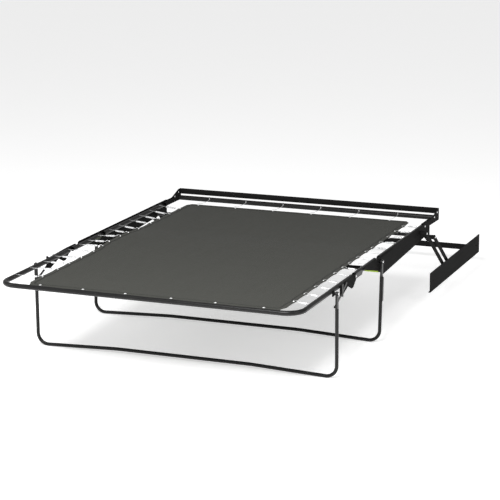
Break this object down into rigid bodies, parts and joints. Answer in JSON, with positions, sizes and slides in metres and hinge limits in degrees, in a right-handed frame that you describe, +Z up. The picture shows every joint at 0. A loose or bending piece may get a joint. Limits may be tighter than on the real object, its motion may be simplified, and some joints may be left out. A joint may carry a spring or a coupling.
{
  "type": "folding bed base",
  "caption": "Pull-out folding bed base for a sofa: hinged steel rail sections, folding leg loops, a woven deck on springs and lift links on side brackets.",
  "frame": {"origin": "middle of the rear face of the rear tie bar, on the mid plane of the bed", "axes": "+Y from the foot towards the head of the bed, +Z up, +X to the right seen from the foot; the floor is 90 mm under the origin"},
  "size_m": [1.52, 2.5685, 0.4279],
  "materials": {
    "black_steel": "semi-gloss black paint",
    "deck_fabric": "woven polypropylene, dark grey-olive",
    "zinc_wire": "bright zinc plate",
    "grip_sleeve": "lime green sleeve"
  },
  "bodies": {
    "mounting_frame": {"mounting_bracket_left": "black_steel", "mounting_bracket_right": "black_steel", "rear_tie_bar": "black_steel"},
    "front_lift_links": {"front_lift_link_left": "black_steel", "front_lift_link_right": "black_steel"},
    "rear_lift_links": {"rear_lift_link_left": "black_steel", "rear_lift_link_right": "black_steel"},
    "body_section": {"body_rail_left": "black_steel", "body_rail_right": "black_steel", "side_plate_left": "black_steel", "side_plate_right": "black_steel", "side_doubler_left": "black_steel", "side_doubler_right": "black_steel", "front_cross_tube": "black_steel", "rear_cross_tube": "black_steel", "grip_sleeve_left": "grip_sleeve", "grip_sleeve_right": "grip_sleeve", "body_deck": "deck_fabric", "body_springs_left": "zinc_wire", "body_springs_right": "zinc_wire"},
    "head_section": {"head_side_left": "black_steel", "head_side_right": "black_steel", "head_tube": "black_steel", "head_angle": "black_steel", "head_hooks": "zinc_wire", "head_deck": "deck_fabric"},
    "middle_section": {"middle_rail_left": "black_steel", "middle_rail_right": "black_steel", "middle_deck": "deck_fabric", "middle_springs_left": "zinc_wire", "middle_springs_right": "zinc_wire"},
    "foot_section": {"foot_frame": "black_steel", "foot_bracket_left": "black_steel", "foot_bracket_right": "black_steel", "brace_keeper_left": "black_steel", "brace_keeper_right": "black_steel", "foot_deck": "deck_fabric", "foot_springs_left": "zinc_wire", "foot_springs_right": "zinc_wire"},
    "front_leg": {"front_leg": "black_steel", "brace_rivet_left": "black_steel", "brace_rivet_right": "black_steel"},
    "front_braces": {"front_brace_left": "black_steel", "front_brace_right": "black_steel"},
    "rear_leg": {"rear_leg": "black_steel", "rear_stiffener_left": "black_steel", "rear_stiffener_right": "black_steel"}
  },
  "joints": [
    {"name": "fold_away", "type": "hinge", "parent": "mounting_frame", "child": "front_lift_links", "pos_m": [0, -0.6275, 0.05], "axis": [-1, 0, 0], "range_deg": [0, 143]},
    {"name": "rear_lift", "type": "hinge", "parent": "mounting_frame", "child": "rear_lift_links", "pos_m": [0, -0.4875, 0], "axis": [-1, 0, 0], "range_deg": [0, 143]},
    {"name": "body_level", "type": "hinge", "parent": "front_lift_links", "child": "body_section", "pos_m": [0, -0.93897, 0.28471], "axis": [1, 0, 0], "range_deg": [0, 143]},
    {"name": "head_fold", "type": "hinge", "parent": "body_section", "child": "head_section", "pos_m": [0, -0.8575, 0.3], "axis": [1, 0, 0], "range_deg": [0, 90]},
    {"name": "middle_fold", "type": "hinge", "parent": "body_section", "child": "middle_section", "pos_m": [0, -1.5635, 0.29], "axis": [-1, 0, 0], "range_deg": [0, 90]},
    {"name": "foot_fold", "type": "hinge", "parent": "middle_section", "child": "foot_section", "pos_m": [0, -1.8875, 0.3], "axis": [-1, 0, 0], "range_deg": [0, 90]},
    {"name": "front_leg_fold", "type": "hinge", "parent": "foot_section", "child": "front_leg", "pos_m": [0, -2.1715, 0.293], "axis": [-1, 0, 0], "range_deg": [0, 82]},
    {"name": "brace_fold", "type": "hinge", "parent": "front_leg", "child": "front_braces", "pos_m": [0, -2.17182, 0.233], "axis": [1, 0, 0], "range_deg": [0, 55]},
    {"name": "rear_leg_fold", "type": "hinge", "parent": "body_section", "child": "rear_leg", "pos_m": [0, -1.5635, 0.29], "axis": [1, 0, 0], "range_deg": [0, 81]}
  ],
  "couplings": [
    {"joint": "rear_lift", "follows": "fold_away", "ratio": 1},
    {"joint": "body_level", "follows": "fold_away", "ratio": 1},
    {"joint": "head_fold", "follows": "fold_away", "ratio": 0.62937},
    {"joint": "middle_fold", "follows": "fold_away", "ratio": 0.62937},
    {"joint": "foot_fold", "follows": "fold_away", "ratio": 0.62937},
    {"joint": "front_leg_fold", "follows": "fold_away", "ratio": 0.57343},
    {"joint": "brace_fold", "follows": "fold_away", "ratio": 0.38461},
    {"joint": "rear_leg_fold", "follows": "fold_away", "ratio": 0.56643}
  ]
}
